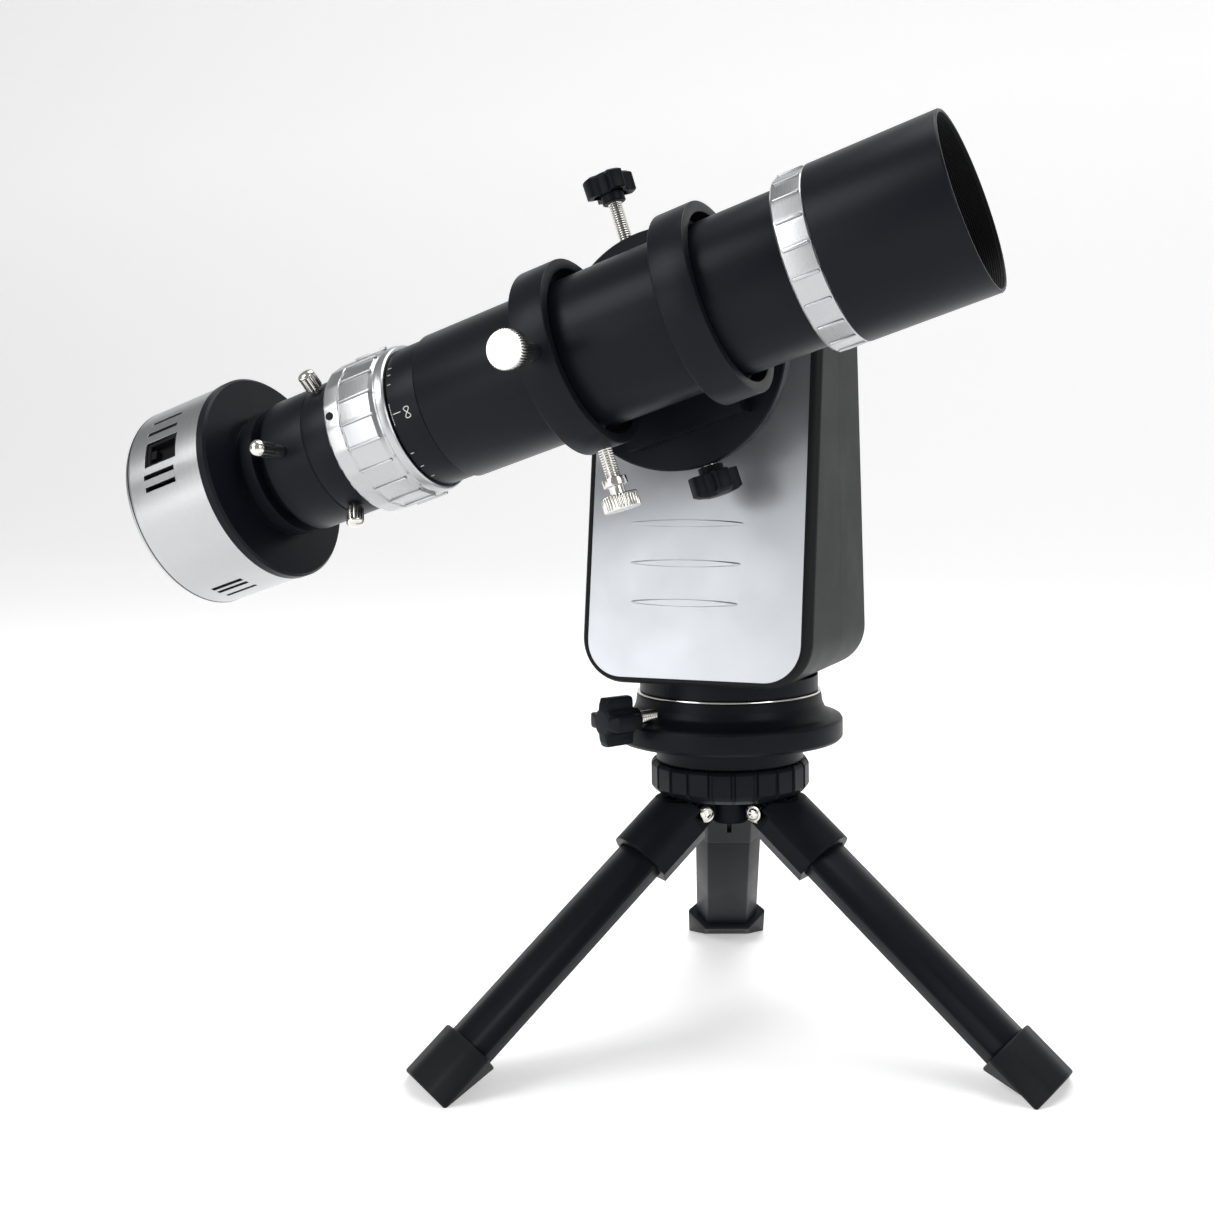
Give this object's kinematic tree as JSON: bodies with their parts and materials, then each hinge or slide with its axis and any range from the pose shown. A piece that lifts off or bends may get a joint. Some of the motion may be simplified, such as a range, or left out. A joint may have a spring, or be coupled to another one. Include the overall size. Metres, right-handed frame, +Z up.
{
  "type": "star tracker mount",
  "caption": "Motorised altitude-azimuth star tracker on a folding tabletop tripod, carrying a guide scope in adjustable rings with a round camera at its focus.",
  "frame": {"origin": "on the azimuth axis, at the height of the ground that the feet stand on", "axes": "+Z up along the azimuth axis; +X along the scope's horizontal heading, towards its objective; the scope hangs on the -Y side of the arm"},
  "size_m": [0.3705, 0.3304, 0.3874],
  "materials": {
    "black_anodised": "satin black anodised",
    "satin_aluminium": "fine turned satin",
    "silver_paint": "satin silver metallic",
    "dark_shell": "satin moulded, fine grain",
    "black_moulding": "satin moulded",
    "black_paint": "semi-gloss",
    "nickel": "bright nickel",
    "steel": "ground",
    "brass": "cut teeth, satin",
    "rubber": "matt",
    "lens_glass": "coated, polished",
    "board": "solder-resist green",
    "motor": "zinc plated can"
  },
  "bodies": {
    "tripod": {"tripod_hub": "black_anodised", "hinge_bolts": "nickel", "hinge_nuts": "nickel", "base_skirt": "black_paint", "trim_ring": "nickel", "azimuth_axle": "steel", "azimuth_gear": "brass"},
    "leg_rear": {"leg_socket_rear": "black_moulding", "leg_tube_rear": "black_paint", "leg_foot_rear": "rubber"},
    "leg_left": {"leg_socket_left": "black_moulding", "leg_tube_left": "black_paint", "leg_foot_left": "rubber"},
    "leg_right": {"leg_socket_right": "black_moulding", "leg_tube_right": "black_paint", "leg_foot_right": "rubber"},
    "lock_ring": {"lock_ring": "black_anodised", "lock_stud": "steel"},
    "azimuth_knob": {"azimuth_knob": "black_moulding"},
    "arm": {"arm_front_shell": "dark_shell", "arm_rear_shell": "dark_shell", "front_cover": "silver_paint", "arm_frame": "black_anodised", "azimuth_bearings": "steel", "azimuth_motor": "motor", "altitude_motor": "motor", "altitude_bearings": "steel", "circuit_board": "board"},
    "azimuth_pinion": {"azimuth_pinion": "brass"},
    "altitude_pinion": {"altitude_pinion": "brass"},
    "power_button": {"power_button": "black_moulding"},
    "scope": {"altitude_shaft": "steel", "altitude_gear": "brass", "saddle_disc": "black_anodised", "dovetail_bar": "black_anodised", "ring_front": "black_anodised", "ring_rear": "black_anodised", "ring_o_ring": "rubber", "ring_plunger": "nickel", "main_tube": "black_anodised", "lens_cell": "satin_aluminium", "dew_shield": "black_anodised", "objective_lens": "lens_glass", "scale_ring": "black_anodised"},
    "upper_jaw": {"upper_jaw": "black_anodised"},
    "upper_clamp_knob": {"upper_clamp_knob": "black_moulding"},
    "lower_clamp_knob": {"lower_clamp_knob": "black_moulding"},
    "ring_screw_side": {"ring_screw_side": "nickel"},
    "ring_screw_bottom": {"ring_screw_bottom": "nickel"},
    "focus_ring": {"focus_ring": "satin_aluminium"},
    "drawtube": {"drawtube": "satin_aluminium", "camera_holder": "black_anodised"},
    "holder_screw_top": {"holder_screw_top": "nickel"},
    "holder_screw_bottom": {"holder_screw_bottom": "nickel"},
    "holder_screw_rear": {"holder_screw_rear": "nickel"},
    "nose_lock_screw": {"nose_lock_screw": "nickel"},
    "camera": {"camera_front": "black_anodised", "camera_can": "satin_aluminium", "sensor_window": "lens_glass", "camera_board": "board"}
  },
  "joints": [
    {"name": "leg_rear_fold", "type": "hinge", "parent": "tripod", "child": "leg_rear", "pos_m": [-0.00711, 0.01816, 0.105], "axis": [-0.9312, -0.3646, 0], "range_deg": [0, 48]},
    {"name": "leg_left_fold", "type": "hinge", "parent": "tripod", "child": "leg_left", "pos_m": [-0.01217, -0.01524, 0.105], "axis": [0.7813, -0.6242, 0], "range_deg": [0, 48]},
    {"name": "leg_right_fold", "type": "hinge", "parent": "tripod", "child": "leg_right", "pos_m": [0.01928, -0.00292, 0.105], "axis": [0.1499, 0.9887, 0], "range_deg": [0, 48]},
    {"name": "lock_ring_turn", "type": "hinge", "parent": "tripod", "child": "lock_ring", "pos_m": [0, 0, 0.1113], "axis": [0, 0, 1], "continuous": true},
    {"name": "azimuth_knob_turn", "type": "hinge", "parent": "tripod", "child": "azimuth_knob", "pos_m": [-0.03, -0.05196, 0.1503], "axis": [-0.5, -0.866, 0], "range_deg": [0, 720]},
    {"name": "azimuth", "type": "hinge", "parent": "tripod", "child": "arm", "pos_m": [0, 0, 0.1585], "axis": [0, 0, 1], "continuous": true},
    {"name": "azimuth_pinion_spin", "type": "hinge", "parent": "arm", "child": "azimuth_pinion", "pos_m": [-0.024, 0, 0.144], "axis": [0, 0, 1], "continuous": true},
    {"name": "power_button_press", "type": "slide", "parent": "arm", "child": "power_button", "axis": [0, -1, 0], "range_m": [0, 0.0012], "stiffness_N_per_m": 400},
    {"name": "altitude", "type": "hinge", "parent": "arm", "child": "scope", "pos_m": [0, 0, 0.3092], "axis": [0, -1, 0], "range_deg": [-36, 72]},
    {"name": "altitude_pinion_spin", "type": "hinge", "parent": "arm", "child": "altitude_pinion", "pos_m": [0, 0.02, 0.2732], "axis": [0, -1, 0], "range_deg": [-360, 180]},
    {"name": "upper_clamp_knob_turn", "type": "hinge", "parent": "scope", "child": "upper_clamp_knob", "pos_m": [-0.00572, -0.061, 0.30739], "axis": [-0.3019, 0, 0.9533], "range_deg": [0, 1080]},
    {"name": "upper_jaw_slide", "type": "slide", "parent": "scope", "child": "upper_jaw", "axis": [-0.3019, 0, 0.9533], "range_m": [0, 0.003]},
    {"name": "lower_clamp_knob_turn", "type": "hinge", "parent": "scope", "child": "lower_clamp_knob", "pos_m": [0, -0.061, 0.3092], "axis": [0.3019, 0, -0.9533], "range_deg": [0, 720]},
    {"name": "ring_screw_side_turn", "type": "hinge", "parent": "scope", "child": "ring_screw_side", "pos_m": [-0.01635, -0.121, 0.30402], "axis": [0, -1, 0], "range_deg": [0, 1440]},
    {"name": "ring_screw_bottom_turn", "type": "hinge", "parent": "scope", "child": "ring_screw_bottom", "pos_m": [-0.01635, -0.121, 0.30402], "axis": [0.3019, 0, -0.9533], "range_deg": [0, 1440]},
    {"name": "focus_turn", "type": "hinge", "parent": "scope", "child": "focus_ring", "pos_m": [-0.09534, -0.121, 0.27901], "axis": [0.9533, 0, 0.3019], "range_deg": [0, 300]},
    {"name": "drawtube_slide", "type": "slide", "parent": "scope", "child": "drawtube", "axis": [-0.9533, 0, -0.3019], "range_m": [0, 0.012]},
    {"name": "camera_turn", "type": "hinge", "parent": "drawtube", "child": "camera", "pos_m": [-0.143, -0.121, 0.26392], "axis": [0.9533, 0, 0.3019], "continuous": true},
    {"name": "holder_screw_top_turn", "type": "hinge", "parent": "drawtube", "child": "holder_screw_top", "pos_m": [-0.11955, -0.121, 0.27135], "axis": [-0.2532, -0.5446, 0.7995], "range_deg": [0, 1080]},
    {"name": "holder_screw_bottom_turn", "type": "hinge", "parent": "drawtube", "child": "holder_screw_bottom", "pos_m": [-0.11955, -0.121, 0.27135], "axis": [0.2736, -0.4226, -0.864], "range_deg": [0, 1080]},
    {"name": "holder_screw_rear_turn", "type": "hinge", "parent": "drawtube", "child": "holder_screw_rear", "pos_m": [-0.11955, -0.121, 0.27135], "axis": [-0.0211, 0.9976, 0.0665], "range_deg": [0, 1080]},
    {"name": "nose_lock_screw_turn", "type": "hinge", "parent": "drawtube", "child": "nose_lock_screw", "pos_m": [-0.1349, -0.121, 0.26649], "axis": [-0.0316, -0.9945, 0.0997], "range_deg": [0, 1080]}
  ],
  "couplings": [
    {"joint": "azimuth_pinion_spin", "follows": "azimuth", "ratio": 3},
    {"joint": "altitude_pinion_spin", "follows": "altitude", "ratio": -5},
    {"joint": "upper_clamp_knob_turn", "follows": "upper_jaw_slide", "rad_per_m": 6283},
    {"joint": "focus_turn", "follows": "drawtube_slide", "rad_per_m": 436.3}
  ]
}
